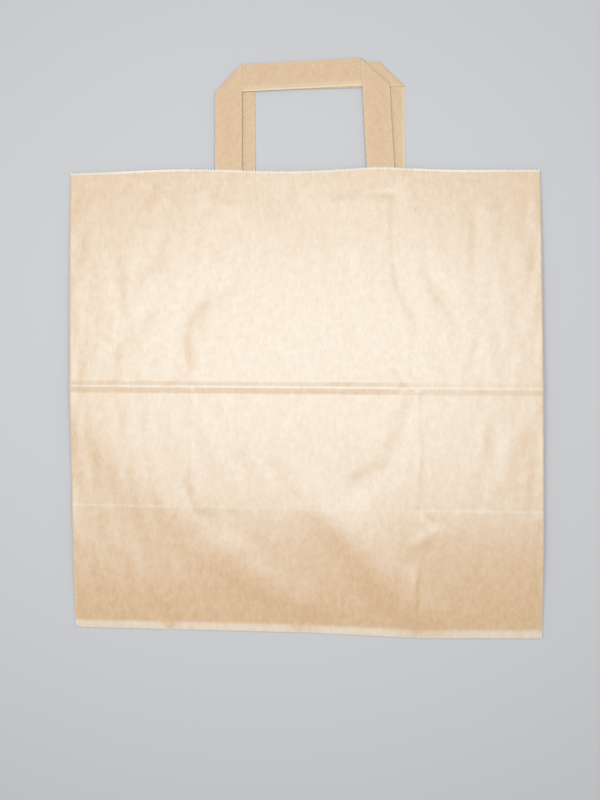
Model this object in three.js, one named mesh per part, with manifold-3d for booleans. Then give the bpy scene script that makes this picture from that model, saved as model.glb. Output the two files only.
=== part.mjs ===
// A paper carrier bag, folded flat: one gusseted sheet with a pasted block bottom and a pinked mouth,
// and two flat tape handles, each glued inside a panel under a reinforcing patch.
// Millimetres, +Z up. The bag lies on its back with its mouth and handles towards +Y. The front panel
// is on top, and the bottom is folded up underneath, against the back panel.
import * as THREE from "three";
import { mergeVertices } from "three/addons/utils/BufferGeometryUtils.js";
import Module from "manifold-3d";

const wasm = await Module();
wasm.setup();

// The bag's size
const panelWidth = 320;
const panelHeight = 315;
const bagDepth = 170; // of the opened bag, so each gusset folds in by half of it

// The paper and how tightly it is folded
const paperThickness = 0.13;
const layerGap = 0.22; // air inside a tight fold
const pasteBite = 0.02; // how far two pasted layers press into each other
const pieceGap = 0.3; // between separate pieces
const bottomFoldHeight = 1.8; // over the rounded fold along the bag's lower edge
const bottomTurn = 6; // strip of the bottom that turns up to the front, below the panel's own crease
const halfwaySpring = 0.8; // how far the back panel's fold, halfway up the bottom, stays open
const turnSpring = 1.6; // how far the fold at the bottom's far side stays open
const creaseHeight = 0.4; // of the ridge that this far side presses into the panels
const creaseWidth = 7;

// The pasted seams and the pinked mouth
const flapOverlap = 24; // of the two bottom flaps
const seamWidth = 20; // of the tube's long seam, on the back panel
const seamInset = 30; // from the side edge to the seam
const toothPitch = 2;
const toothDepth = 1.2;

// The tape handles and their patches
const tapeWidth = 18.5;
const tapeThickness = 0.4;
const tapeFoldGap = 0.15; // between the two layers at a folded corner
const handleRise = 73; // of the front handle's highest point over the mouth
const backHandleDrop = 2; // how much lower the back handle's highest point is
const legTuck = 58; // length of the legs inside the bag
const frontHandleShift = -1; // of the handle's middle from the bag's middle
const backHandleShift = 9;
const frontBarTilt = 1.7; // degrees, rising towards +X
const backBarTilt = 0.3;
const frontRightLegTilt = 3.4; // degrees, its foot swung towards +X
const backRightLegTilt = 0.5;
const patchMargin = 12; // from each gusset's inner fold to a patch in the bag's middle
const patchBorder = 4; // from the patch's side edge to the handle's leg
const patchDrop = 17.5; // from the mouth down to the patch
const patchFoot = 3.5; // how far the patch reaches below the legs' ends
const patchThickness = 0.13;

// Facets and overlaps of the modelling itself
const tightArcSteps = 4; // round a fold
const wideArcSteps = 8;
const lap = 2; // how far a fold's two ends run into the layers that it joins
const wellClear = 50; // how far a cutting shape runs past what it cuts
const mergeDistance = 1e-5; // within which two corners are one

const halfWidth = panelWidth / 2;
const halfDepth = bagDepth / 2;
const flapLength = halfDepth + flapOverlap / 2;
const patchWidth = panelWidth - bagDepth - 2 * patchMargin;
const handleWidth = patchWidth - 2 * patchBorder; // over both legs, at the corners
const foldPitch = paperThickness + layerGap;
const pastePitch = paperThickness - pasteBite;
const radians = THREE.MathUtils.degToRad;

// Solids, from three.js geometry and back

function toSolid(geometry) {
  const bare = new THREE.BufferGeometry();
  bare.setAttribute("position", geometry.getAttribute("position"));
  bare.setIndex(geometry.index);
  const merged = mergeVertices(bare, mergeDistance);
  const mesh = new wasm.Mesh({
    numProp: 3,
    vertProperties: new Float32Array(merged.attributes.position.array),
    triVerts: new Uint32Array(merged.index.array),
  });
  return new wasm.Manifold(mesh);
}

function toGeometry(solid) {
  const mesh = solid.getMesh();
  const geometry = new THREE.BufferGeometry();
  geometry.setAttribute("position", new THREE.BufferAttribute(mesh.vertProperties, 3));
  geometry.setIndex(new THREE.BufferAttribute(mesh.triVerts, 1));
  geometry.computeVertexNormals();
  return geometry;
}

const join = (solids) => solids.reduce((whole, solid) => whole.add(solid));

// An upright prism over a plan outline of [x, y] points.
function prism(outline, low, high) {
  const shape = new THREE.Shape(outline.map(([x, y]) => new THREE.Vector2(x, y)));
  const geometry = new THREE.ExtrudeGeometry(shape, { depth: high - low, bevelEnabled: false });
  geometry.translate(0, 0, low);
  return toSolid(geometry);
}

// A closed solid through a row of sections, each with the same number of points. The outline is one
// section's own flat form, counterclockwise, from which the two end caps are filled.
function loft(sections, outline) {
  const count = outline.length;
  const corner = (k, i) => k * count + (i % count);
  const caps = THREE.ShapeUtils.triangulateShape(outline, []);
  const last = sections.length - 1;
  const index = [];
  for (const [a, b, c] of caps) {
    index.push(corner(0, c), corner(0, b), corner(0, a));
    index.push(corner(last, a), corner(last, b), corner(last, c));
  }
  for (let k = 0; k < last; k++) {
    for (let i = 0; i < count; i++) {
      index.push(corner(k, i), corner(k, i + 1), corner(k + 1, i + 1));
      index.push(corner(k, i), corner(k + 1, i + 1), corner(k + 1, i));
    }
  }
  const geometry = new THREE.BufferGeometry().setFromPoints(sections.flat());
  geometry.setIndex(index);
  const solid = toSolid(geometry);
  if (solid.volume() > 0) return solid;
  geometry.setIndex(index.reverse());
  return toSolid(geometry);
}

// Layers: a profile is a list of [y, z] stations along the bag, giving the middle of the paper

function heightAt(profile, y) {
  const next = profile.findIndex(([station]) => station >= y);
  if (next === 0) return profile[0][1];
  if (next < 0) return profile.at(-1)[1];
  const [y0, z0] = profile[next - 1];
  const [y1, z1] = profile[next];
  return z0 + ((z1 - z0) * (y - y0)) / (y1 - y0);
}

const raised = (profile, rise) => profile.map(([y, z]) => [y, z + rise]);

// The part of a layer of paper that lies over a plan outline. Past its profile's ends it runs on level.
function layer(profile, outline, thickness = paperThickness) {
  const places = [...profile, ...outline.map(([, y]) => [y])].map(([y]) => y);
  const first = [Math.min(...places) - wellClear, profile[0][1]];
  const last = [Math.max(...places) + wellClear, profile.at(-1)[1]];
  const stations = [first, ...profile, last];
  const under = raised(stations, -thickness / 2);
  const over = raised(stations, thickness / 2).reverse();
  const shape = new THREE.Shape([...under, ...over].map(([y, z]) => new THREE.Vector2(y, z)));
  const slabWidth = panelWidth + 2 * wellClear;
  const slab = new THREE.ExtrudeGeometry(shape, { depth: slabWidth, bevelEnabled: false });
  const axes = [new THREE.Vector3(0, 1, 0), new THREE.Vector3(0, 0, 1), new THREE.Vector3(1, 0, 0)];
  slab.applyMatrix4(new THREE.Matrix4().makeBasis(...axes));
  slab.translate(-slabWidth / 2, 0, 0);
  return toSolid(slab).intersect(prism(outline, -wellClear, wellClear));
}

// The section of a fold as [d, z] points, d being the distance inwards from the fold's outermost line.
// It is a hairpin: two straight ends at the heights of the two layers, and the bend that joins them.
function hairpin(low, high, reach, thickness, steps) {
  const radius = (high(0) - low(0) + thickness) / 2;
  const half = thickness / 2;
  const middle = (low(radius) + high(radius)) / 2;
  const tall = (high(radius) - low(radius)) / 2;
  const arc = (inset) =>
    Array.from({ length: steps + 1 }, (_, i) => {
      const turn = Math.PI * (i / steps - 0.5);
      const wide = radius - inset;
      return [radius - wide * Math.cos(turn), middle + (tall + half - inset) * Math.sin(turn)];
    });
  return [
    [reach, low(reach) + half],
    ...arc(thickness),
    [reach, high(reach) - half],
    [reach, high(reach) + half],
    ...arc(0).reverse(),
    [reach, low(reach) - half],
  ];
}

// A fold between two layers along a plan line from start to end, with the sheet on the inward side.
// The heights of the lower and upper layer are functions of the plan place, and the stations are the
// shares of the line at which the fold has a section.
function fold({ start, end, inward, low, high, stations = [0, 1], thickness = paperThickness, steps }) {
  const from = new THREE.Vector2(...start);
  const to = new THREE.Vector2(...end);
  const side = new THREE.Vector2(...inward).normalize();
  const places = stations.map((share) => from.clone().lerp(to, share));
  const widest = Math.max(...places.map((place) => high(place) - low(place) + thickness)) / 2;
  const reach = widest + lap;
  const outlines = places.map((place) => {
    const at = (height) => (d) => height(place.clone().addScaledVector(side, d));
    return hairpin(at(low), at(high), reach, thickness, steps);
  });
  const sections = outlines.map((outline, k) =>
    outline.map(([d, z]) => {
      const place = places[k].clone().addScaledVector(side, d);
      return new THREE.Vector3(place.x, place.y, z);
    }),
  );
  return loft(sections, outlines[0].map(([d, z]) => new THREE.Vector2(d, z)));
}

// The heights of the layers, from the lowest up. Below the far side of the folded-up bottom they lie
// on one another; above it the back panel comes down to the table.

const flat = (z) => [[0, z], [panelHeight, z]];
const farFlap = flat(paperThickness / 2);
const nearFlap = raised(farFlap, pastePitch);
const gussetEnd = raised(nearFlap, pastePitch);
const triangle = raised(gussetEnd, foldPitch);
const turnedGussetHeight = triangle[0][1] + foldPitch;
const turnedGusset = [
  [halfDepth, turnedGussetHeight],
  [bagDepth, turnedGussetHeight + turnSpring],
];
const turnedBack = raised(turnedGusset, foldPitch);

const legStack = 2 * (pieceGap + tapeThickness);
const barStack = 2 * (tapeFoldGap + tapeThickness) + pieceGap;
const patchStack = 2 * (pieceGap + patchThickness) + pieceGap;
const mouthGap = legStack + Math.max(barStack, patchStack); // between the two panels, over the handles

const backAtHalf = heightAt(turnedBack, halfDepth) + foldPitch + halfwaySpring;
const backAtTurn = heightAt(turnedBack, bagDepth) + foldPitch;
const backAtMouth = pastePitch + paperThickness / 2; // on the table, over the lapped seam
const straightBack = [[halfDepth, backAtHalf], [bagDepth, backAtTurn], [panelHeight, backAtMouth]];
const backPanel = [
  straightBack[0],
  ...[-creaseWidth / 2, 0, creaseWidth / 2].map((offset) => {
    const y = bagDepth + offset;
    return [y, heightAt(straightBack, y) + (offset === 0 ? creaseHeight : 0)];
  }),
  straightBack[2],
];
const backGusset = raised(backPanel, foldPitch);
const frontAtBottom = bottomFoldHeight - paperThickness / 2;
const frontPanel = [
  [0, frontAtBottom],
  [bottomTurn, frontAtBottom],
  ...raised(backPanel, paperThickness + mouthGap),
];
const frontGusset = raised(frontPanel, -foldPitch);

const on = (profile) => (place) => heightAt(profile, place.y);
const bendOf = (low, high, y) => (heightAt(high, y) - heightAt(low, y) + paperThickness) / 2;

// The bag's body

const sideBend = (foldPitch + paperThickness) / 2;
const innerBend = bendOf(backGusset, frontGusset, panelHeight);
const frontDiagonalBend = bendOf(triangle, frontGusset, halfDepth);
const backDiagonalBend = bendOf(triangle, turnedGusset, bagDepth);
const halfwayBend = bendOf(turnedBack, backPanel, halfDepth);
const outerHalfwayBend = bendOf(turnedGusset, backGusset, halfDepth);
const turnBend = bendOf(farFlap, turnedBack, bagDepth);
const bottomBend = bendOf(nearFlap, frontPanel, 0);
const outerHalfway = halfDepth - foldPitch; // where the gussets' fold wraps round the back panel's

// A rectangle across the bag, from one height to another.
const across = (half, y0, y1) => [[-half, y0], [half, y0], [half, y1], [-half, y1]];

function panels() {
  const wide = halfWidth - sideBend;
  const seam = halfWidth - seamInset;
  const lastTurn = bagDepth - turnBend;
  const flapEnd = halfWidth - flapLength;
  return [
    layer(frontPanel, across(wide, bottomBend, panelHeight)),
    layer(backPanel, across(wide, halfDepth + halfwayBend, panelHeight)),
    layer(turnedBack, across(wide, halfDepth + halfwayBend, lastTurn)),
    layer(raised(backPanel, -pastePitch), [
      [seam - seamWidth, bagDepth + creaseWidth],
      [seam, bagDepth + creaseWidth],
      [seam, panelHeight],
      [seam - seamWidth, panelHeight],
    ]),
    layer(nearFlap, [[-wide, bottomBend], [wide, bottomBend], [flapEnd, flapLength], [-flapEnd, flapLength]]),
    layer(farFlap, [
      [wide, lastTurn],
      [-wide, lastTurn],
      [-flapEnd, bagDepth - flapLength],
      [flapEnd, bagDepth - flapLength],
    ]),
  ];
}

// The layers of one gusset, in plan places given as distance in from the side edge and height.
function gussetLayers(toPlan) {
  const front = frontDiagonalBend * Math.SQRT2;
  const back = bagDepth - backDiagonalBend * Math.SQRT2;
  const inner = halfDepth - innerBend;
  const tip = (back - front) / 2;
  const halfway = outerHalfway + outerHalfwayBend;
  const nearEnd = bottomBend + layerGap;
  const farEnd = bagDepth - turnBend - layerGap;
  const mouth = [[inner, panelHeight], [sideBend, panelHeight]];
  const outlines = [
    [frontGusset, [[sideBend, sideBend + front], [inner, inner + front], ...mouth]],
    [backGusset, [[sideBend, halfway], [inner, halfway], ...mouth]],
    [turnedGusset, [[sideBend, halfway], [back - halfway, halfway], [sideBend, back - sideBend]]],
    [triangle, [[sideBend, sideBend + front], [tip, tip + front], [sideBend, back - sideBend]]],
    [gussetEnd, [[sideBend, nearEnd], [flapLength, nearEnd], [flapLength, farEnd], [sideBend, farEnd]]],
  ];
  return outlines.map(([profile, outline]) => layer(profile, outline.map(toPlan)));
}

// Every place along a stretch of the side edge where one of its two layers changes slope.
function stationsBetween(y0, y1, ...profiles) {
  const inside = profiles.flat().map(([y]) => y).filter((y) => y > y0 && y < y1);
  const all = [...new Set([y0, ...inside, y1])].sort((a, b) => a - b);
  return all.map((y) => (y - y0) / (y1 - y0));
}

function gussetFolds(toPlan, towards) {
  const edgeFold = (lower, upper, y0, y1) =>
    fold({
      start: toPlan([0, y0]),
      end: toPlan([0, y1]),
      inward: towards([1, 0]),
      low: on(lower),
      high: on(upper),
      stations: stationsBetween(y0, y1, lower, upper),
      steps: tightArcSteps,
    });
  const corner = bottomBend + lap;
  const frontReach = (frontDiagonalBend + lap) / Math.SQRT2;
  const frontStart = frontReach + layerGap;
  const apex = outerHalfway - frontReach - layerGap;
  const backStart = halfDepth + outerHalfwayBend;
  const backEnd = bagDepth - turnBend - lap;
  return [
    edgeFold(frontGusset, frontPanel, bottomBend, panelHeight),
    edgeFold(backPanel, backGusset, halfDepth + halfwayBend, panelHeight),
    edgeFold(turnedGusset, turnedBack, halfDepth + outerHalfwayBend, backEnd),
    edgeFold(gussetEnd, triangle, corner, backEnd),
    fold({
      start: toPlan([halfDepth, halfDepth + outerHalfwayBend]),
      end: toPlan([halfDepth, panelHeight]),
      inward: towards([-1, 0]),
      low: on(backGusset),
      high: on(frontGusset),
      stations: stationsBetween(halfDepth + outerHalfwayBend, panelHeight, backGusset),
      steps: wideArcSteps,
    }),
    fold({
      start: toPlan([frontStart, frontStart]),
      end: toPlan([apex, apex]),
      inward: towards([-1, 1]),
      low: on(triangle),
      high: on(frontGusset),
      steps: wideArcSteps,
    }),
    fold({
      start: toPlan([bagDepth - backStart, backStart]),
      end: toPlan([bagDepth - backEnd, backEnd]),
      inward: towards([-1, -1]),
      low: on(triangle),
      high: on(turnedGusset),
      steps: tightArcSteps,
    }),
    fold({
      start: toPlan([sideBend, outerHalfway]),
      end: toPlan([halfDepth - innerBend, outerHalfway]),
      inward: [0, 1],
      low: on(turnedGusset),
      high: on(backGusset),
      steps: wideArcSteps,
    }),
  ];
}

// The three folds that run across the whole bag.
function crossFolds() {
  const wide = halfWidth - sideBend;
  const cross = (y, inward, lower, upper) =>
    fold({
      start: [-wide, y],
      end: [wide, y],
      inward: [0, inward],
      low: on(lower),
      high: on(upper),
      steps: wideArcSteps,
    });
  return [
    cross(0, 1, nearFlap, frontPanel),
    cross(halfDepth, 1, turnedBack, backPanel),
    cross(bagDepth, -1, farFlap, turnedBack),
  ];
}

// What the toothed knife takes off: everything past a zigzag line across the mouth.
function mouthCutter() {
  const teeth = Math.round(panelWidth / toothPitch);
  const width = panelWidth / teeth;
  const zigzag = Array.from({ length: 2 * teeth + 1 }, (_, i) => {
    const x = -halfWidth + (i * width) / 2;
    return [x, panelHeight - (i % 2 === 0 ? toothDepth : 0)];
  });
  const beyond = panelHeight + wellClear;
  const ends = [[halfWidth + wellClear, panelHeight - toothDepth], [halfWidth + wellClear, beyond]];
  const start = [[-halfWidth - wellClear, beyond], [-halfWidth - wellClear, panelHeight - toothDepth]];
  return prism([...zigzag, ...ends, ...start], -wellClear, wellClear);
}

function bagBody() {
  const sides = [1, -1].flatMap((sign) => {
    const toPlan = ([inset, y]) => [sign * (halfWidth - inset), y];
    const towards = ([inset, y]) => [-sign * inset, y];
    return [...gussetLayers(toPlan), ...gussetFolds(toPlan, towards)];
  });
  return join([...panels(), ...sides, ...crossFolds()]).subtract(mouthCutter());
}

// A tape handle: two legs and a bar of one tape, folded over at both corners. The bar lies on the
// inner side of the legs, which is below them on the front handle and above them on the back one.

function handlePlan({ shift, top, barTilt, rightLegTilt }) {
  const bar = new THREE.Vector2(Math.cos(radians(barTilt)), Math.sin(radians(barTilt)));
  const barUp = new THREE.Vector2(-bar.y, bar.x);
  const up = new THREE.Vector2(0, 1);
  const down = new THREE.Vector2(Math.sin(radians(rightLegTilt)), -Math.cos(radians(rightLegTilt)));
  const leftFold = up.clone().add(bar).normalize();
  const rightFold = bar.clone().add(down).normalize();
  const leftSpan = leftFold.clone().multiplyScalar(tapeWidth / leftFold.dot(barUp));
  const rightSpan = rightFold.clone().multiplyScalar(-tapeWidth / rightFold.dot(barUp));
  const leftEdge = shift - handleWidth / 2;
  const topRun = (handleWidth - leftSpan.x - rightSpan.x) / bar.x;
  const rightHigh = new THREE.Vector2(leftEdge + leftSpan.x + topRun * bar.x, top);
  const leftHigh = rightHigh.clone().addScaledVector(bar, -topRun);
  return {
    bar,
    down,
    left: { fold: leftFold, high: leftHigh, low: leftHigh.clone().sub(leftSpan) },
    right: { fold: rightFold, high: rightHigh, low: rightHigh.clone().add(rightSpan) },
  };
}

// One leg or bar end, cut back from its folded corner by the bend: the tape's two edges there.
function cutBack(corner, along, inward, bend) {
  const step = bend / along.dot(inward);
  return [corner.low, corner.high].map((point) => point.clone().addScaledVector(along, step).toArray());
}

function tapeHandle(plan, legs, bar) {
  const legAtMouth = heightAt(legs, panelHeight);
  const barHeight = bar[0][1];
  const [low, high] = barHeight < legAtMouth ? [barHeight, legAtMouth] : [legAtMouth, barHeight];
  const bend = (high - low + tapeThickness) / 2;
  const foot = panelHeight - legTuck;
  const pieces = [];
  const barEnds = [];
  const corners = [
    [plan.left, new THREE.Vector2(0, -1), plan.bar],
    [plan.right, plan.down, plan.bar.clone().negate()],
  ];
  for (const [corner, legWay, barWay] of corners) {
    const inward = legWay.clone().add(barWay).normalize();
    const toFoot = (point) => point.clone().addScaledVector(legWay, (foot - point.y) / legWay.y).toArray();
    const legTop = cutBack(corner, legWay, inward, bend);
    pieces.push(layer(legs, [...legTop, toFoot(corner.high), toFoot(corner.low)], tapeThickness));
    barEnds.push(cutBack(corner, barWay, inward, bend));
    const inside = crossing(corner.low, barWay, corner.high, legWay);
    const doubled = prism([corner.low, corner.high, inside].map((p) => p.toArray()), -wellClear, wellClear);
    const bent = fold({
      start: corner.low.toArray(),
      end: corner.high.toArray(),
      inward: inward.toArray(),
      low: () => low,
      high: () => high,
      thickness: tapeThickness,
      steps: wideArcSteps,
    });
    pieces.push(bent.intersect(doubled));
  }
  const [leftEnd, rightEnd] = barEnds;
  pieces.push(layer(bar, [...leftEnd, ...rightEnd.reverse()], tapeThickness));
  return join(pieces);
}

// Where two plan lines cross, each given by a point and a direction.
function crossing(p, pWay, q, qWay) {
  const gap = q.clone().sub(p);
  return p.clone().addScaledVector(pWay, gap.cross(qWay) / pWay.cross(qWay));
}

const offPaper = paperThickness / 2 + pieceGap + tapeThickness / 2;
const offTape = tapeThickness / 2 + pieceGap + patchThickness / 2;
const barStep = tapeThickness + tapeFoldGap;
const frontLegs = raised(frontPanel, -offPaper);
const backLegs = raised(backPanel, offPaper);
const frontBar = flat(heightAt(frontLegs, panelHeight) - barStep);
const backBar = flat(heightAt(backLegs, panelHeight) + barStep);
const frontPlan = handlePlan({
  shift: frontHandleShift,
  top: panelHeight + handleRise,
  barTilt: frontBarTilt,
  rightLegTilt: frontRightLegTilt,
});
const backPlan = handlePlan({
  shift: backHandleShift,
  top: panelHeight + handleRise - backHandleDrop,
  barTilt: backBarTilt,
  rightLegTilt: backRightLegTilt,
});

// A patch lies over both legs of a handle, from below their ends to near the mouth.
function handlePatch({ left, right, down }, profile) {
  const top = panelHeight - patchDrop;
  const bottom = panelHeight - legTuck - patchFoot;
  const rightRun = ((top + bottom) / 2 - right.low.y) / down.y;
  const middle = (left.low.x + right.low.x + rightRun * down.x) / 2;
  const outline = across(patchWidth / 2, bottom, top).map(([x, y]) => [x + middle, y]);
  return layer(profile, outline, patchThickness);
}

// The whole object, with its origin under the middle of its own outline

const kraft = new THREE.MeshStandardMaterial({ color: 0xe4cdb0, roughness: 0.8, metalness: 0 });
const tapeKraft = new THREE.MeshStandardMaterial({ color: 0xdcc09b, roughness: 0.8, metalness: 0 });
const patchKraft = new THREE.MeshStandardMaterial({ color: 0xe0c7a6, roughness: 0.85, metalness: 0 });

const bag = new THREE.Group();
bag.position.y = -(panelHeight + handleRise) / 2;

function addPiece(name, solid, material) {
  const mesh = new THREE.Mesh(toGeometry(solid), material);
  mesh.name = name;
  bag.add(mesh);
}

addPiece("bag_body", bagBody(), kraft);
addPiece("front_handle", tapeHandle(frontPlan, frontLegs, frontBar), tapeKraft);
addPiece("back_handle", tapeHandle(backPlan, backLegs, backBar), tapeKraft);
addPiece("front_handle_patch", handlePatch(frontPlan, raised(frontLegs, -offTape)), patchKraft);
addPiece("back_handle_patch", handlePatch(backPlan, raised(backLegs, offTape)), patchKraft);

const model = new THREE.Group();
model.add(bag);

export default model;
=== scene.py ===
# %% [markdown]
# # A paper carrier bag, folded flat
# The bag is one sheet of brown kraft paper, folded into a tube with a gusset at each side. Its bottom is
# pasted into a rectangle and folded up against the back. Two flat tape handles are glued inside the mouth,
# each under a patch. It lies on its back, so the front panel is on top.
#
# The frame holds the solids at their real size. This lesson dresses them: it models the creased paper, the
# folded tapes and the pinked mouth, and gives each its finish.

# %% Load the frame
import math

import bmesh
import bpy
import numpy as np
from mathutils import Euler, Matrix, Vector


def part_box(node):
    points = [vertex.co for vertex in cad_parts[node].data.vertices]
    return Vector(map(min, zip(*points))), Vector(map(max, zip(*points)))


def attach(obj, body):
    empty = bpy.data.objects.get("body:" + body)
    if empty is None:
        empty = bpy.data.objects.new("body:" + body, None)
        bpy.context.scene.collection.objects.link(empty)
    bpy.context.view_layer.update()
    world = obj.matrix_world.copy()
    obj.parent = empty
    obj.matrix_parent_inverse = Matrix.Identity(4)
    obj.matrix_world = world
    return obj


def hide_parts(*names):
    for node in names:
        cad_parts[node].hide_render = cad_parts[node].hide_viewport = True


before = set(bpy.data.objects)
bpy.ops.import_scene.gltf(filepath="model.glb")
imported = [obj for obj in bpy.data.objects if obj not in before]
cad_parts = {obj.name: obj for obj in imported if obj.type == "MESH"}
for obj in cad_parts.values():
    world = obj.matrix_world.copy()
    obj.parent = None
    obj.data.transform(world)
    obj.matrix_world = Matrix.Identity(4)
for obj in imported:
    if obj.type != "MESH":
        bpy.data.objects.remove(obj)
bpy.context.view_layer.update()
print("solids in the frame:", ", ".join(sorted(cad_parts)))

# %% [markdown]
# ## Where things are
# Paper is easiest to think of in millimetres on the bag itself: x across it from the middle, v up it from
# the lower edge, and z up from the table. Every shape below is worked out in those three numbers, and
# `to_frame` turns them into metres in the frame just before a mesh is made. The panel's size comes from the
# frame. The depth of the opened bag shows in no box, so it is written here.

# %% The bag's sizes
MM = 0.001
bag_low, bag_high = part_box("bag_body")
half_width = (bag_high[0] - bag_low[0]) / 2 / MM
panel_height = (bag_high[1] - bag_low[1]) / MM
bag_depth = 170.0
half_depth = bag_depth / 2
paper = 0.13
fold_pitch = 0.35  # from layer to layer across a tight fold
paste_pitch = 0.135  # from layer to layer where they are pasted
tooth_pitch = 2.0
tooth_depth = 1.5
mouth_v = panel_height - tooth_depth  # where the teeth begin


def to_frame(points):
    """Millimetres on the bag (x, v, z) as metres in the frame."""
    return np.asarray(points, float) * MM + np.array([0.0, bag_low[1], 0.0])


def ease(start, end, value):
    """0 before start, 1 after end, and a smooth change between them."""
    share = np.clip((value - start) / (end - start), 0, 1)
    return share * share * (3 - 2 * share)


print(f"panel {2 * half_width:.0f} x {panel_height:.0f} mm, folded depth {half_depth:.0f} mm a side")

# %% [markdown]
# ## The creases of the front panel
# A used paper bag is never flat. The layers inside print through the panel, the folds spring open, and
# handling leaves waves and dents. Sculpting these by hand would work once. Writing each of them as a line of
# points with a height and a width is slower to begin with, but every one can be moved or softened later. A
# crease has one width on the left of its line and another on the right, because most of them are steep on
# one side only. Its height is one number, or one for each of its points where it dies out.

# %% How one crease bends the paper


def crease(x, v, points, height, left, right):
    """A ridge, or with a negative height a valley, along a line of points."""
    nearest = np.full(np.shape(x), np.inf)
    side = np.zeros(np.shape(x))
    level = np.zeros(np.shape(x))
    heights = np.broadcast_to(height, len(points))
    for (x0, v0), (x1, v1), h0, h1 in zip(points, points[1:], heights, heights[1:]):
        dx, dv = x1 - x0, v1 - v0
        share = np.clip(((x - x0) * dx + (v - v0) * dv) / (dx * dx + dv * dv), 0, 1)
        off_x, off_v = x - (x0 + share * dx), v - (v0 + share * dv)
        distance = np.hypot(off_x, off_v)
        closer = distance < nearest
        side = np.where(closer, dx * off_v - dv * off_x, side)
        level = np.where(closer, h0 + share * (h1 - h0), level)
        nearest = np.where(closer, distance, nearest)
    return level * np.exp(-((nearest / np.where(side > 0, left, right)) ** 2))


trial_line = [(0, 0), (0, 10)]
print(f"3 mm off a ridge 6 mm wide, {crease(3.0, 5.0, trial_line, 1.0, 6, 6):.2f} of its height is left")

# %% [markdown]
# The lists below go down the panel. Each entry is a line of (x, v) places, then the height and the two
# widths. Above the middle fold the marks come from the handles inside and from gripping the bag. Below it
# they come from the gussets and the folded bottom.

# %% The creases, from the mouth down
upper_creases = [
    (
        [(-58, 232), (-70, 228), (-78, 219), (-82, 207), (-83, 196), (-80, 186), (-76, 176)],
        [-0.5, -0.85, -1.2, -1.1, -1.0, -0.8, 0], 6, 15,
    ),
    ([(-88, 240), (-105, 220), (-119, 203)], [0, -0.6, -0.3], 7, 12),
    ([(-99, 262), (-104, 250)], -0.4, 5, 8),
    ([(-126, 246), (-124, 226)], -0.4, 3.6, 7),
    ([(-128, 194), (-126, 178)], -0.22, 3, 6),
    ([(62, 297), (62, 255), (65, 240), (70, 225), (80, 213)], [-0.3, -0.5, -0.55, -0.45, 0], 8, 2.8),
    ([(83, 256), (92, 234), (101, 217)], [0, -0.7, -0.2], 8, 4),
    ([(116, 281), (116, 228)], -0.3, 5, 2.6),
    ([(31, 248), (32, 208)], -0.3, 6, 3.5),
    ([(75, 208), (74, 192), (74, 178)], [0, -0.3, -0.3], 4, 2),
    ([(48, 298), (62, 298)], -0.11, 1.6, 3),
    ([(-61, 297), (-61, 258)], -0.14, 1.2, 3),
    ([(-39.5, 297), (-39.5, 258)], -0.14, 3, 1.2),
    ([(62, 187), (69, 173)], -0.5, 2, 5),
    ([(24, 178), (44, 181), (61, 184)], -0.5, 5, 5),
    ([(-60, 294), (-46, 287)], 0.24, 6, 3),
    ([(24, 292), (33, 293)], 0.16, 4, 4),
    ([(-14, 300), (4, 280)], -0.4, 18, 18),
]
middle_creases = [
    ([(-155, 153), (-146, 118), (-143, 100)], [0, -0.25, -0.15], 8, 8),
    ([(77, 166), (76, 150), (78, 130), (77, 112), (79, 92)], [0.4, 0.4, 0.4, 0.4, 0], 2.6, 2.0),
    ([(-75, 166), (-76, 130), (-75, 100)], 0.22, 2, 2.4),
    ([(-82, 101), (-77, 90), (-72, 80)], -0.22, 4, 2.4),
    ([(71, 154), (66, 134), (58, 117), (35, 104)], -0.5, 10, 6),
    ([(-20, 115), (-15, 96)], [-0.45, 0], 2.4, 3),
    ([(-43, 121), (-39, 103)], [-0.4, -0.1], 2.4, 3),
    ([(140, 138), (133, 105)], 0.28, 5, 4),
    ([(156, 134), (156, 89)], -0.25, 5, 7),
]
lower_creases = [
    ([(8, 88), (30, 69), (51, 42), (77, 15)], [0.9, 1.3, 1.5, 1.4], 18, 12),
    ([(-62, 52), (-30, 36), (0, 18)], 0.9, 13, 12),
    ([(-52, 61), (-46, 59)], 0.45, 8, 8),
    ([(-66, 79), (-69, 66), (-65, 50)], -0.25, 3, 6),
    ([(-72, 82), (-60, 80), (-47, 82)], -0.07, 4, 4),
    ([(77, 64), (89, 72)], 0.4, 4.5, 4.5),
    ([(78, 87), (88, 77)], -0.16, 2.4, 3),
    ([(71, 51), (72, 49)], -0.25, 3, 3),
    ([(75, 47), (75, 37), (74, 2)], [0, 0.5, 0.5], 1.5, 1.9),
    ([(-146, 68), (-146, 26)], -0.3, 6, 5),
    ([(-97, 14), (-94, 7), (-94, 0)], [-0.3, -0.6, -0.9], 5, 3.4),
    ([(-8, 14), (-4, 6), (-4, 0)], [-0.3, -0.5, -0.65], 5, 3),
    ([(71, 12), (74, 6), (75, 0)], [-0.3, -0.3, -0.1], 5, 2.6),
]
print("creases:", len(upper_creases) + len(middle_creases) + len(lower_creases))

# %% [markdown]
# ## The height of the paper
# Two functions say how high the two panels lie, and everything else hangs on them: the gussets run a fold's
# width under or over a panel, and the handles inside follow it too. So a dent in the front pushes down
# what is beneath it, and no layer cuts through another.
#
# Besides the creases there is cockle, the slight waviness that paper takes from damp. It is a sum of a few
# long waves with a fixed seed, longer up the bag than across it, because the fibres run that way.

# %% Cockle
cockle_seed = 7
cockle_waves = 20
cockle_height = 0.06
lengths_across = (8, 26)  # the shortest and the longest wave
lengths_along = (35, 120)
draw = np.random.default_rng(cockle_seed)
across_lengths = draw.uniform(*lengths_across, cockle_waves)
cockle_across = 2 * math.pi / across_lengths * draw.choice([-1, 1], cockle_waves)
cockle_along = 2 * math.pi / draw.uniform(*lengths_along, cockle_waves)
cockle_phase = draw.uniform(0, 2 * math.pi, cockle_waves)


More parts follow.
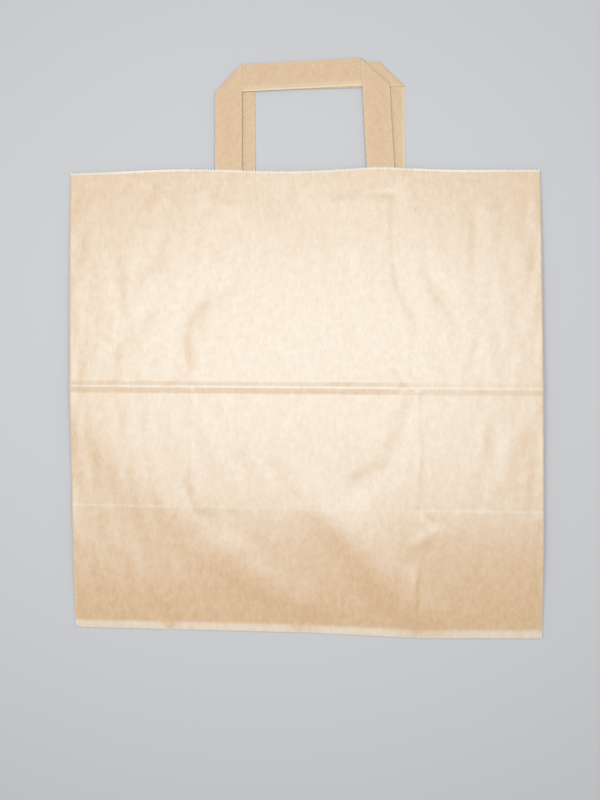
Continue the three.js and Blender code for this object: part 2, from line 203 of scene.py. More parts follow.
def cockle(x, v):
    waves = zip(cockle_across, cockle_along, cockle_phase)
    return cockle_height * sum(np.cos(a * x + b * v + c) for a, b, c in waves) / math.sqrt(cockle_waves / 2)


print("cockle:", cockle_waves, "waves")

# %% [markdown]
# The front panel climbs from the lower edge over the folded bottom, then falls to the mouth. The back panel
# lies under it. A pair of numbers below is where a change begins and where it is complete.

# %% The heights of the two panels
bottom_turn = 6.0  # strip of the bottom that turns up to the front
half_line = 87.0  # where the panel bends over the fold below it
front_levels = {"edge": 1.5, "turn": 1.3, "half": 5.6, "middle": 6.1, "mouth": 3.1}
back_levels = {"half": 2.5, "middle": 3.3, "mouth": 0.2}
bulge_power = 1.6  # how soon the panel climbs from the lower edge
left_bulge = 0.6  # share of that climb at the left
bulge_span = (-70, 30)
corner_fall = 1.6  # how far the panel drops over the folded corner at the left
corner_margin = 8.0  # the drop begins this far inside the corner's diagonal, measured across the bag
corner_slope = (0, 45)
corner_span = (25, 90)
mouth_close = 0.9  # how much flatter the mouth lies beside the handles
beside_handles = (66, 110)
towards_mouth = (240, panel_height)
fold_places = [164.8, 168.8, 169.4, 170.0, 173.2, 178]  # the middle fold keeps two flat facets
fold_rises = [0, 0.68, 0.74, 0.70, 0.08, 0]
fold_fade = 0.3  # the fold is this much lower at the right
fade_span = (45, 85)
cockled_from = (0, 30)
cockled_to = (panel_height, panel_height - 20)
ridge_height, ridge_width = 0.4, 2  # of the back panel over the folded bottom


def front_height(x, v):
    """The middle of the front panel's paper."""
    x, v = np.broadcast_arrays(np.asarray(x, float), np.asarray(v, float))
    level = front_levels
    z = np.interp(v, [0, bottom_turn, half_line, bag_depth, panel_height], list(level.values()))
    share = np.clip((v - bottom_turn) / (half_line - bottom_turn), 0, 1)
    bulge = 1 - (1 - share) ** bulge_power - share
    full = left_bulge + (1 - left_bulge) * ease(*bulge_span, x)
    z = z + bulge * (level["half"] - level["turn"]) * full
    below_corner = (bag_depth - corner_margin - (x + half_width) - v) / math.sqrt(2)
    z = z - corner_fall * ease(*corner_slope, below_corner) * ease(*corner_span, v)
    z = z - mouth_close * ease(*beside_handles, np.abs(x)) * ease(*towards_mouth, v)
    for points, height, left, right in upper_creases + middle_creases + lower_creases:
        z = z + crease(x, v, points, height, left, right)
    z = z + np.interp(v, fold_places, fold_rises) * (1 - fold_fade * ease(*fade_span, x))
    return z + cockle(x, v) * ease(*cockled_from, v) * ease(*cockled_to, v)


def back_height(x, v):
    """The middle of the back panel's paper."""
    x, v = np.broadcast_arrays(np.asarray(x, float), np.asarray(v, float))
    z = np.interp(v, [half_depth, bag_depth, panel_height], list(back_levels.values()))
    ridge = [(-half_width, bag_depth), (half_width, bag_depth)]
    return z + crease(x, v, ridge, ridge_height, ridge_width, ridge_width)


probe_x, probe_v = np.meshgrid(np.linspace(-150, 150, 61), np.linspace(90, 310, 45))
gap = front_height(probe_x, probe_v) - back_height(probe_x, probe_v)
print(f"room between the panels: {gap.min():.2f} to {gap.max():.2f} mm")

# %% [markdown]
# ## How the real bag differs from a rectangle
# Hand-fed folding leaves a bag slightly out of square: the mouth sits a little to the left, the lower edge
# runs downhill to the right with a kink where the gusset begins, and the handles lift the mouth over their
# legs. One function moves every layer of the bag in its own plane, so the layers stay together.

# %% Out of square
side_heights = [0.0, bag_depth, panel_height]
left_drift = {"x": [1.2, -0.6, -0.5], "v": [1.2, 0.3, 1.4]}
right_drift = {"x": [1.8, 0.3, -2.2], "v": [-0.5, -1.6, -0.6]}
mouth_lifts = [(-82, 46, 2.0), (52, 32, 2.2)]  # middle, half width and height
lifted_from = 200.0
kink_place, kink_drop = 77.0, 1.85
kink_reach = 60.0  # how far up the bag the kink is felt
nipped_corner = 2.6  # the lower left corner is knocked off by this much
nip_share = 0.44  # under a half, so that the corner's faces don't close up to a line


def bent(values, v):
    """A smooth curve through three values at the bag's foot, middle fold and mouth."""
    return np.polyval(np.polyfit(side_heights, values, 2), v)


def out_of_square(points):
    x, v, z = np.moveaxis(np.asarray(points, float), -1, 0)
    across = (x + half_width) / (2 * half_width)
    dx = (1 - across) * bent(left_drift["x"], v) + across * bent(right_drift["x"], v)
    dv = (1 - across) * bent(left_drift["v"], v) + across * bent(right_drift["v"], v)
    for middle, spread, height in mouth_lifts:
        dv = dv + height * np.exp(-(((x - middle) / spread) ** 2)) * ease(lifted_from, panel_height, v)
    kink = np.interp(x, [0, kink_place, half_width], [0, -kink_drop, 0])
    nip = np.clip(nipped_corner - (x + half_width) - v, 0, None) * nip_share
    return np.stack([x + dx + nip, v + dv + nip + kink * ease(kink_reach, 0, v), z], axis=-1)


def where_it_lies(panel):
    """A panel's height at places in the frame, found by undoing the drift there."""

    def height(x, v):
        places = np.stack(np.broadcast_arrays(x, v, 0.0), axis=-1)
        drift = out_of_square(places) - places
        return panel(x - drift[..., 0], v - drift[..., 1])

    return height


corners = [[sx * half_width, v, 0] for v in (0, panel_height) for sx in (-1, 1)]
print("corners, mm:", np.round(out_of_square(corners)[:, :2], 1).tolist())

# %% [markdown]
# ## Wear, with painted highlights and shade
# Kraft paper goes pale where it is folded or cut, because the fibres lift. The same paleness also paints the
# highlight that a fold or an edge catches, as at the lower edge and on the crest of the middle fold, and
# where the lower edge is dented the pale strip is broken, which paints the dents' shade. A number at each
# vertex, 0 for sound paper and 1 for a bare fold, tells the paper's material where that is. It could be
# painted by hand or taken from the curvature. A function of place is used here, since the folds' places are
# known.

# %% Where the paper is worn, with painted highlights and shade
# Shares of paleness: wear at folds and cuts, with the painted highlight of the lower edge and the middle
# fold
wear_shares = {"strip": 0.45, "lower edge": 0.45, "middle fold": 0.3, "rims": 0.4, "mouth": 0.6}
crisp_span = (-70, -110)  # only at the far left is the upper edge of the pale strip sharp
strip_top, strip_full = 0.3, 1.3  # below the turn, where the strip begins and where it is fully pale
blur_up, blur_down = 2.4, 2.0  # how much wider that change is elsewhere
# Where the lower edge is dented, the pale strip is broken there: painted shade in the dents
dents_with_painted_shade = [(-94, 1, 0.9), (-4, 0.8, 0.5), (74, 0.7, 0.3)]  # place, spread and depth
dent_inner, dent_outer = (0.4, 0.7), (2.4, 0.9)  # half width at the lower edge, and its growth up the bag
# The pale line along the lower edge is wear and the painted highlight of its fold
edge_wear = (1.6, 0.4)
half_fold_width, half_fold_worn = 0.8, (0.1, 0.22)  # everywhere, and added over the gussets
gusset_span, gusset_middle = (78, 92), -2
# The pale line on the middle fold's crest is wear and painted highlight
crest, crest_width = fold_places[2], 0.5  # of the middle fold
rim_span = (half_width - 1.6, half_width - 0.6)
cut_wear = 0.6  # width of the worn line along the mouth


def front_wear(x, v):
    blurred = 1 - ease(*crisp_span, x)
    begins = bottom_turn - strip_top + blur_up * blurred
    strip = ease(begins, bottom_turn - strip_full - blur_down * blurred, v)
    inner, outer = (start + growth * v for start, growth in (dent_inner, dent_outer))
    # The strip's paleness is taken away at each dent, which paints the dent's shade
    for dent, spread, depth in dents_with_painted_shade:
        away = ease(inner, outer, np.abs(x - dent) / spread)
        strip = strip * (1 - depth * (1 - away))
    everywhere, added = half_fold_worn
    over_gussets = everywhere + added * ease(*gusset_span, np.abs(x - gusset_middle))
    half_fold = np.exp(-(((v - half_line) / half_fold_width) ** 2)) * over_gussets
    middle_fold = wear_shares["middle fold"] * np.exp(-(((v - crest) / crest_width) ** 2))
    rims = wear_shares["rims"] * ease(*rim_span, np.abs(x))
    mouth = wear_shares["mouth"] * ease(mouth_v - cut_wear, mouth_v, v)
    low = wear_shares["strip"] * strip + wear_shares["lower edge"] * ease(*edge_wear, v)
    return np.clip(low + half_fold + middle_fold + rims + mouth, 0, 1)


print("wear at the lower edge:", float(front_wear(0.0, 0.0)))

# %% [markdown]
# ## The folded sheet
# A thin shell can be made with a Cloth simulation, by folding a flat mesh with bones, or by writing out
# where each layer lies. The bag's folds follow from a few sizes, so the layers are written out, in the order
# in which the paper runs: front panel, round the side edge into the front half of the gusset, back out
# again, round into the back panel. They share their rows of points, so the layers hang together as they do
# in the real sheet. Small corners stay open where several folds meet, and the bottom flaps' tucked-in
# corners are left out. What is pasted on the real bag, such as the lap of the seam, only lies against its
# neighbour here. A Solidify modifier then gives the paper its thickness.
#
# `Sheet` collects the points and hands back their numbers in a grid. `bridge` makes faces between the
# neighbours in such a grid.

# %% A collector for the sheet's points


class Sheet:
    def __init__(self):
        self.points, self.wear, self.faces = [], [], []

    def add(self, points, wear=0.0):
        points = np.asarray(points, float)
        first = sum(len(part) for part in self.points)
        shape = points.shape[:-1]
        self.points.append(points.reshape(-1, 3))
        self.wear.append(np.broadcast_to(np.asarray(wear, float), shape).reshape(-1))
        return np.arange(first, first + np.prod(shape)).reshape(shape)

    def bridge(self, *grids, axis=1):
        ids = np.concatenate(grids, axis=axis)
        quads = np.stack([ids[:-1, :-1], ids[:-1, 1:], ids[1:, 1:], ids[1:, :-1]], axis=-1)
        self.faces.extend(quads.reshape(-1, 4).tolist())


def grid(x, v, z):
    return np.stack(np.broadcast_arrays(x, v, z), axis=-1)


trial = Sheet()
trial.bridge(trial.add(grid(np.arange(4.0)[None, :], np.arange(3.0)[:, None], 0.0)))
print("a trial of 3 x 4 points makes", len(trial.faces), "faces")

# %% [markdown]
# The rows lie closer together where the paper bends sharply: at the lower edge, at the two cross folds and
# along the upper edge of the patch inside. The same goes for the columns near the side edges, over the
# gussets' inner folds and along the steep crease on the right. A gusset's front half needs enough columns to
# follow the creases of the panel above it, or that panel would dip through it.

# %% Rows and columns
lowest_row = 0.65
row_bands = [  # from, to and step
    (lowest_row, 13, 0.9), (14, 80, 3.2), (80, 94, 1.0), (95, 160, 3.2), (161, 164, 1.0), (164, 175, 0.5),
    (175, 181, 1.2), (182, 293, 3.2), (293, 302, 1.0), (303, panel_height - 5, 3.2),
]
mouth_rows = [panel_height - 3, mouth_v - cut_wear, mouth_v]
rows = np.concatenate([np.arange(*band) for band in row_bands] + [mouth_rows])
side_bend = (fold_pitch + paper) / 2
panel_edge = half_width - side_bend
column_bands = [  # from, to and number of points
    (-panel_edge, -150, 9), (-150, -84, 30), (-84, -66, 16), (-66, 54, 54),
    (54, 66, 13), (66, 84, 16), (84, 150, 30), (150, panel_edge, 9),
]
front_columns = np.append(np.concatenate([np.linspace(*band)[:-1] for band in column_bands]), panel_edge)
back_columns = np.linspace(-panel_edge, panel_edge, 41)
creased_shares = np.linspace(0, 1, 25)  # across a gusset's front half
bent_shares = np.linspace(0, 1, 6)  # across its layers that bend only along the bag
flat_shares = np.linspace(0, 1, 3)
half_fold_room = 0.9  # from the bottom's fold to the first row above it
open_corner = 5.0  # the sides are joined from here up
far_fold_room = 4.0  # from the last turned-up row to the far fold
half_row = int(np.argmax(rows >= half_depth + half_fold_room))
first_gusset_row = int(np.argmax(rows >= open_corner))
last_turned_row = int(np.argmax(rows >= bag_depth - far_fold_room))
print(len(rows), "rows,", len(front_columns), "columns on the front")

# %% [markdown]
# The two panels come first, because every other layer is joined to their edges. The back panel ends at half
# the bottom's depth, where it turns up.

# %% The two panels
sheet = Sheet()
row_v = rows[:, None]
front_z = front_height(front_columns[None, :], row_v)
front = sheet.add(grid(front_columns[None, :], row_v, front_z), front_wear(front_columns[None, :], row_v))
sheet.bridge(front)
tube_v = row_v[half_row:]
back = sheet.add(grid(back_columns[None, :], tube_v, back_height(back_columns[None, :], tube_v)))
sheet.bridge(back)
print("points so far:", int(front.size + back.size))

# %% [markdown]
# A fold between two layers is half of an ellipse from one layer's edge to the other's. `turn` gives the
# points between those two edges, given how far the fold bulges past them.

# %% How paper turns round a fold


def turn(start, end, bulge, steps):
    """Points on a half ellipse from start to end, bulging by the vector bulge, without the two ends."""
    start, end, bulge = (np.asarray(part, float) for part in (start, end, bulge))
    angles = np.linspace(0, math.pi, steps + 1)[1:-1]
    middle, arm = (start + end) / 2, (start - end) / 2
    points = [middle + arm * math.cos(a) + bulge * math.sin(a) for a in angles]
    return np.stack(points, axis=-2)


fold_steps = 4
wide_steps = 6
# Folds are pale from wear and from a painted highlight
worn_and_lit_fold = 0.6
print("points between the ends of a tight fold:", len(turn([0, 0, 0], [0, 0, 1], [1, 0, 0], fold_steps)))

# %% [markdown]
# ## One gusset
# Seen from the mouth, a gusset is a V that lies on its side. Near the bottom it opens into a triangle, which
# the folded bottom presses flat. From the top down, its layers are the front half, the back half, the part
# of the back half that is turned up with the bottom, the triangle, and the gusset's end, which is pasted to
# the bottom flaps. Each is a strip whose width may change from row to row.

# %% The layers of one gusset
end_level = 2 * paste_pitch + paper / 2
triangle_level = end_level + fold_pitch
turned_rise = 1.5  # how much higher the turned-up layers lie at their far fold
turned_levels = [triangle_level + fold_pitch, triangle_level + fold_pitch + turned_rise]
flap_overlap = 24.0  # of the two bottom flaps
flap_length = half_depth + flap_overlap / 2
diagonal_room = 3.0  # the folds along the diagonals stand this far clear of them
inner_bend = 1.3  # how far a gusset's inner fold bulges
tight_share = 0.25  # of that bulge, where the bottom presses a diagonal flat


def strip(sign, v, width, height, shares):
    """A gusset layer from the side edge inwards, on the rows v. Height is a number or a function."""
    inset = side_bend + shares[None, :] * (width - side_bend)
    x = sign * (half_width - inset)
    return grid(x, v, height(x, v) if callable(height) else height)


def under_front(x, v):
    return front_height(x, v) - fold_pitch


def over_back(x, v):
    return back_height(x, v) + fold_pitch


def turned_gusset(x, v):
    return np.interp(v, [half_depth, bag_depth], turned_levels) + 0 * x


def turned_back(x, v):
    return turned_gusset(x, v) + fold_pitch


def gusset(sign, edge):
    """Adds one gusset between the panels' edge columns, and returns the strips that the bottom joins."""
    outwards = np.array([sign * fold_pitch / 2, 0, 0])
    inner_edge = np.full_like(tube_v, half_depth - inner_bend)
    lows = half_row - first_gusset_row
    front_v = row_v[first_gusset_row:]
    front_width = np.where(front_v < half_depth, front_v - diagonal_room, half_depth - inner_bend)
    bottom_v = row_v[first_gusset_row : last_turned_row + 1]
    turned_v = row_v[half_row : last_turned_row + 1]
    triangle_width = np.minimum(bottom_v, bag_depth - bottom_v) - diagonal_room
    shapes = {
        "front": strip(sign, front_v, front_width, under_front, creased_shares),
        "back": strip(sign, tube_v, inner_edge, over_back, bent_shares),
        "turned": strip(sign, turned_v, bag_depth - turned_v - diagonal_room, turned_gusset, bent_shares),
        "triangle": strip(sign, bottom_v, triangle_width, triangle_level, flat_shares),
        "end": strip(sign, bottom_v, np.full_like(bottom_v, flap_length), end_level, flat_shares),
    }
    ids = {name: sheet.add(points) for name, points in shapes.items()}
    panel = sheet.points[0].reshape(front.shape + (3,))[first_gusset_row:, edge]
    side = sheet.add(turn(panel, shapes["front"][:, 0], outwards, fold_steps), worn_and_lit_fold)
    sheet.bridge(front[first_gusset_row:, edge][:, None], side, ids["front"])
    rear = sheet.points[1].reshape(back.shape + (3,))[:, edge]
    rear_side = sheet.add(turn(shapes["back"][:, 0], rear, outwards, fold_steps), worn_and_lit_fold)
    inwards = np.array([-sign * inner_bend, 0, 0])
    tube_front = ids["front"][lows:]
    tube_points = shapes["front"][lows:]
    inner = sheet.add(turn(tube_points[:, -1], shapes["back"][:, -1], inwards, wide_steps))
    sheet.bridge(tube_front[:, -1:], inner, ids["back"][:, ::-1], rear_side, back[:, edge][:, None])
    clear = slice(lows - 1)  # the row beside the bottom's own fold stays free of the diagonal
    diagonal_points = turn(shapes["front"][clear, -1], shapes["triangle"][clear, -1], inwards, wide_steps)
    diagonal = sheet.add(diagonal_points)
    sheet.bridge(ids["front"][clear, -1:], diagonal, ids["triangle"][clear, -1:])
    turned_inner, triangle_inner = shapes["turned"][:, -1], shapes["triangle"][lows:, -1]
    back_diagonal = sheet.add(turn(turned_inner, triangle_inner, inwards * tight_share, fold_steps))
    sheet.bridge(ids["turned"][:, -1:], back_diagonal, ids["triangle"][lows:, -1:])
    base = sheet.add(turn(shapes["triangle"][:, 0], shapes["end"][:, 0], outwards, fold_steps), worn_and_lit_fold)
    sheet.bridge(ids["triangle"][:, ::-1], base, ids["end"])
    return {"back": ids["back"], "rear_side": rear_side, "turned": ids["turned"], "shapes": shapes}


left_gusset = gusset(-1, 0)
right_gusset = gusset(1, -1)
print("faces so far:", len(sheet.faces))

# %% [markdown]
# ## The bottom
# The front panel runs round the lower edge into the near flap. The back panel and the gussets' back halves
# turn up together at half the bottom's depth, and then the back panel turns down again into the far flap.
# Both flaps narrow at 45 degrees, which is how the corners of a block bottom close.

# %% The lower edge and the near flap
near_level = paste_pitch + paper / 2
far_level = paper / 2
flap_rows = np.array([4, 10, 18, 28, 40, 54, 68, 84, flap_length])
# The lower edge's fold is pale from wear and from a painted highlight
worn_and_lit_edge = 0.9


def flap(columns, distances, level, fold_v, way):
    """Rows of a bottom flap that narrows as it leaves its fold."""
    narrowing = (panel_edge - distances[:, None]) / panel_edge
    return grid(columns[None, :] * narrowing, fold_v + way * distances[:, None], level)


panel_foot = sheet.points[0].reshape(front.shape + (3,))[0]
near_start = grid(front_columns, lowest_row, near_level)
lower_edge = turn(panel_foot, near_start, [0, -lowest_row, 0], wide_steps)
edge_ids = sheet.add(np.moveaxis(lower_edge, 1, 0), worn_and_lit_edge)
near_points = np.concatenate([near_start[None], flap(front_columns, flap_rows, near_level, 0, 1)])
near_flap = sheet.add(near_points)
sheet.bridge(front[:1], edge_ids, near_flap, axis=0)
print("lower edge:", edge_ids.shape[0], "rows round the fold")

# %% [markdown]
# The turned-up part joins the gussets' turned layers at its sides. All of them then meet the layers above in
# one fold, which bulges more where the layers lie further apart, so that the inner fold fits in the outer.

# %% The turned-up back and the far flap
fold_reach = 0.4  # how far that fold bulges beyond a half circle
turned_v = row_v[half_row : last_turned_row + 1]
turned_z = turned_back(back_columns[None, :], turned_v)
turned_points = grid(back_columns[None, :], turned_v, turned_z)
turned = sheet.add(turned_points)
turned_edges = []
for sign, edge, made in ((-1, 0, left_gusset), (1, -1, right_gusset)):
    outwards = [sign * fold_pitch / 2, 0, 0]
    side = turn(made["shapes"]["turned"][:, 0], turned_points[:, edge], outwards, fold_steps)
    turned_edges.append(sheet.add(side, worn_and_lit_fold))
upper_strip = [
    left_gusset["back"][:, ::-1], left_gusset["rear_side"], back,
    right_gusset["rear_side"][:, ::-1], right_gusset["back"],
]
lower_strip = [
    left_gusset["turned"][:, ::-1], turned_edges[0], turned,
    turned_edges[1][:, ::-1], right_gusset["turned"],
]
sheet.bridge(*lower_strip)
every_point = np.concatenate(sheet.points)
fold_top = np.concatenate([part[0] for part in upper_strip])
fold_under = np.concatenate([part[0] for part in lower_strip])
reach = fold_reach + (every_point[fold_top, 2] - every_point[fold_under, 2]) / 2
bulge = np.stack([0 * reach, -reach, 0 * reach], axis=-1)
half_fold = turn(every_point[fold_top], every_point[fold_under], bulge, wide_steps)
half_ids = sheet.add(np.moveaxis(half_fold, 1, 0))
sheet.bridge(fold_top[None], half_ids, fold_under[None], axis=0)
last_turned = turned_points[-1]
far_start = grid(back_columns, last_turned[:, 1], far_level)
far_bend = bag_depth - rows[last_turned_row]
far_edge = turn(last_turned, far_start, [0, far_bend, 0], wide_steps)
far_ids = sheet.add(np.moveaxis(far_edge, 1, 0), worn_and_lit_fold)
far_points = np.concatenate([far_start[None], flap(back_columns, flap_rows[1:], far_level, bag_depth, -1)])
far_flap = sheet.add(far_points)
sheet.bridge(turned[-1:], far_ids, far_flap, axis=0)
print("sheet:", sum(map(len, sheet.points)), "points,", len(sheet.faces), "faces")

# %% [markdown]
# ## The long seam
# The sheet becomes a tube where its two edges are pasted over each other, on the back near one side. The
# lap lies under the back panel, from the mouth down to the folded bottom. It could be painted on as a line,
# but a real layer also gives the small step that a finger feels there.

# %% The lap of the seam
seam_overlap = 20.0
seam_inset = 30.0  # from the bag's side edge to the lap
seam_start = bag_depth + 7.0  # clear of the ridge over the folded bottom
lap_shares = np.concatenate([[0, 0.03], np.linspace(0.1, 0.9, 9), [0.97, 1]])
lap_columns = half_width - seam_inset - seam_overlap * (1 - lap_shares)
lap_v = row_v[rows > seam_start]


def under_back(x, v):
    return back_height(x, v) - paste_pitch


lap_edges = (lap_shares == 0) | (lap_shares == 1)
lap_points = grid(lap_columns[None, :], lap_v, under_back(lap_columns[None, :], lap_v))
sheet.bridge(sheet.add(lap_points, np.where(lap_edges, worn_and_lit_fold, 0)))
print(f"seam: {seam_overlap:.0f} x {np.ptp(lap_v):.0f} mm")

# %% [markdown]
# ## From points to paper
# The mesh is made at the origin with its place in its points. Normals are made to agree while the sheet is
# still open, and only then does Solidify give it thickness. The modifier is evaluated once and its result
# kept as a plain mesh. The wear, with the highlights and shade painted along with it, is carried over.

# %% Meshes from points
paper_angle = 40  # bends sharper than this are shaded as edges


def put(name, data):
    """An object in the scene for a mesh, a lamp or a camera."""
    thing = bpy.data.objects.new(name, data)
    bpy.context.scene.collection.objects.link(thing)
    return thing


def set_wear(mesh, wear):
    mesh.attributes.new("wear", "FLOAT", "POINT").data.foreach_set("value", wear)


def make_mesh(name, points, faces, wear):
    """A mesh object from points in millimetres on the bag."""
    mesh = bpy.data.meshes.new(name)
    mesh.from_pydata(to_frame(points).tolist(), [], faces)
    set_wear(mesh, wear)
    return put(name, mesh)


def tidy_normals(thing):
    """Drops points that no face uses, and makes the faces agree on their outside."""
    shape = bmesh.new()
    shape.from_mesh(thing.data)
    loose = [vertex for vertex in shape.verts if not vertex.link_faces]
    bmesh.ops.delete(shape, geom=loose, context="VERTS")
    bmesh.ops.recalc_face_normals(shape, faces=shape.faces)
    shape.to_mesh(thing.data)
    shape.free()


def keep_result(thing):
    """Replaces an object's mesh by what its modifiers make of it."""
    ready = thing.evaluated_get(bpy.context.evaluated_depsgraph_get())
    mesh = bpy.data.meshes.new_from_object(ready)
    thing.modifiers.clear()
    thing.data = mesh
    mesh.name = thing.name


def thicken(thing):
    """Gives a sheet the thickness of the paper, half of it on each side."""
    solidify = thing.modifiers.new("thickness", "SOLIDIFY")
    solidify.thickness = paper * MM
    solidify.offset = 0
    keep_result(thing)


def shade_smooth(thing, angle):
    thing.data.shade_smooth()
    thing.data.set_sharp_from_angle(angle=math.radians(angle))


def make_paper(name, points, faces, wear):
    """A piece of paper from the points of its middle."""
    thing = make_mesh(name, points, faces, wear)
    tidy_normals(thing)
    thicken(thing)
    shade_smooth(thing, paper_angle)
    return thing


bag_points = out_of_square(np.concatenate(sheet.points))
bag_paper = make_paper("bag_paper", bag_points, sheet.faces, np.concatenate(sheet.wear))
bag_paper.data.calc_loop_triangles()
print("bag paper:", len(bag_paper.data.loop_triangles), "triangles")

# %% [markdown]
# ## The finish of kraft paper
# Unbleached kraft is a light brown with long fibres, cloudy where the pulp lay thicker, with a dull sheen
# from the rollers. A photograph of paper would give that at once, but it would hold one bag's light and
# stains. Noise at three sizes gives it for any bag: long streaks along the fibres, soft clouds, and a fine
# grain. They change the colour a little and roughen the surface through a bump. The wear number lightens
# folds and cut edges. It also paints the highlights that folds and edges catch, and the shade in the lower
# edge's dents. The rollers leave a cool gloss over the warm brown, strongest where the lamp mirrors.
#
# A node tree takes many small steps in code. `wired` makes a node and fills its inputs in one line.

# %% Making nodes
MIX_A, MIX_B, MIX_RESULT = 6, 7, 2  # the colour sockets of a Mix node


def feed(tree, node, inputs):
    """Fills a node's inputs, each with a fixed value or with another node's output."""
    for name, value in inputs.items():
        if isinstance(value, bpy.types.NodeSocket):
            tree.links.new(value, node.inputs[name])
        else:
            node.inputs[name].default_value = value


def wired(tree, kind, inputs=None, **settings):
    """A node with its settings and its inputs."""
    made = tree.nodes.new(kind)
    for name, value in settings.items():
        setattr(made, name, value)
    feed(tree, made, inputs or {})
    return made


def new_material(name):
    material = bpy.data.materials.new(name)
    material.use_nodes = True
    return material, material.node_tree, material.node_tree.nodes["Principled BSDF"]


print("materials so far:", len(bpy.data.materials))

# %% [markdown]
# Each noise has a share in the tone, and a ramp turns the tone into a colour between the paper's dark and
# its light. The paleness of wear and painted highlight is patchy along the fibres, as wear is where some of
# them lift and others hold.

# %% Building a material
fibre_noise = {"Scale": 1, "Detail": 4, "Roughness": 0.62}  # its scale is in the stretched coordinates
cloud_noise = {"Scale": 170, "Detail": 5, "Roughness": 0.65}
grain_noise = {"Scale": 1500, "Detail": 3, "Roughness": 0.6}
fibre_share, cloud_share, grain_share = 0.38, 0.32, 0.30
darkest, lightest = 0.36, 0.64  # tones at the two ends of the ramp
patchiness = {"From Min": 0.35, "From Max": 0.65, "To Min": 0.75}
grain_relief = 0.7  # beside the fibres' own relief
relief = {"Strength": 0.2, "Distance": 0.00012}


def paper_material(name, colours, coordinates, fibre_scale, surface):
    """Kraft paper. Colours are its dark, its light, and its pale tone of wear and painted highlight."""
    material, tree, shader = new_material(name)
    place = wired(tree, "ShaderNodeTexCoord").outputs[coordinates]
    stretched = wired(tree, "ShaderNodeMapping", {"Vector": place, "Scale": fibre_scale}).outputs["Vector"]
    fibre, cloud, grain = (
        wired(tree, "ShaderNodeTexNoise", {"Vector": where, **noise}).outputs["Fac"]
        for where, noise in ((stretched, fibre_noise), (place, cloud_noise), (place, grain_noise))
    )

    def calculate(operation, *inputs):
        return wired(tree, "ShaderNodeMath", dict(enumerate(inputs)), operation=operation).outputs[0]

    streaks = calculate("MULTIPLY", fibre, fibre_share)
    clouded = calculate("MULTIPLY_ADD", cloud, cloud_share, streaks)
    tone = calculate("MULTIPLY_ADD", grain, grain_share, clouded)
    ramp = wired(tree, "ShaderNodeValToRGB", {"Fac": tone})
    dark, light, worn_and_lit = ((*colour, 1) for colour in colours)
    for stop, position, colour in zip(ramp.color_ramp.elements, (darkest, lightest), (dark, light)):
        stop.position, stop.color = position, colour
    wear = wired(tree, "ShaderNodeAttribute", attribute_name="wear").outputs["Fac"]
    patchy = wired(tree, "ShaderNodeMapRange", {"Value": fibre, **patchiness}).outputs["Result"]
    worn_and_lit_share = calculate("MULTIPLY", wear, patchy)
    mix = {"Factor": worn_and_lit_share, MIX_A: ramp.outputs["Color"], MIX_B: worn_and_lit}
    tint = wired(tree, "ShaderNodeMix", mix, data_type="RGBA").outputs[MIX_RESULT]
    rough = calculate("MULTIPLY_ADD", grain, grain_relief, fibre)
    bump = wired(tree, "ShaderNodeBump", {"Height": rough, **relief}).outputs["Normal"]
    feed(tree, shader, {"Base Color": tint, "Normal": bump, **surface})
    return material


kraft = paper_material(
    "kraft_paper",
    [(0.715, 0.404, 0.148), (0.825, 0.566, 0.336), (0.90, 0.80, 0.66)],
    "Object", (420, 190, 420),
    {"Roughness": 0.37, "Specular IOR Level": 1.0, "IOR": 1.89, "Specular Tint": (0.53, 0.82, 0.97, 1)},
)
tape_kraft = paper_material(
    "handle_tape",
    [(0.600, 0.422, 0.254), (0.755, 0.560, 0.372), (0.80, 0.68, 0.48)],
    "UV", (1100, 420, 1), {"Roughness": 0.58, "Specular IOR Level": 0.5},
)
patch_kraft = paper_material(
    "patch_paper",
    [(0.66, 0.49, 0.33), (0.75, 0.59, 0.42), (0.82, 0.70, 0.55)],
    "Object", (150, 520, 520), {"Roughness": 0.62, "Specular IOR Level": 0.4},
)
bag_paper.data.materials.append(kraft)
print("finishes:", kraft.name, tape_kraft.name, patch_kraft.name)

# %% [markdown]
# ## The pinked mouth
# The tube is cut from the roll with a toothed knife, so every layer at the mouth ends in a row of small
# points. They repeat along a path, which is what Geometry Nodes are for. The path is the layers' top edges.
# The tree walks along it, sets a three-sided prism at every step with its point towards the mouth, and
# ends with Realize Instances and Set Material so that the teeth are real mesh. Its sizes are named inputs,
# so a coarser knife is one number away.

# %% The tooth tree
sides = 3  # of a tooth's prism
prism_width, prism_height = math.sqrt(3), 1.5  # of a triangle whose corners are 1 from its middle
prism_rise = 3  # its middle is a third of its height above its base


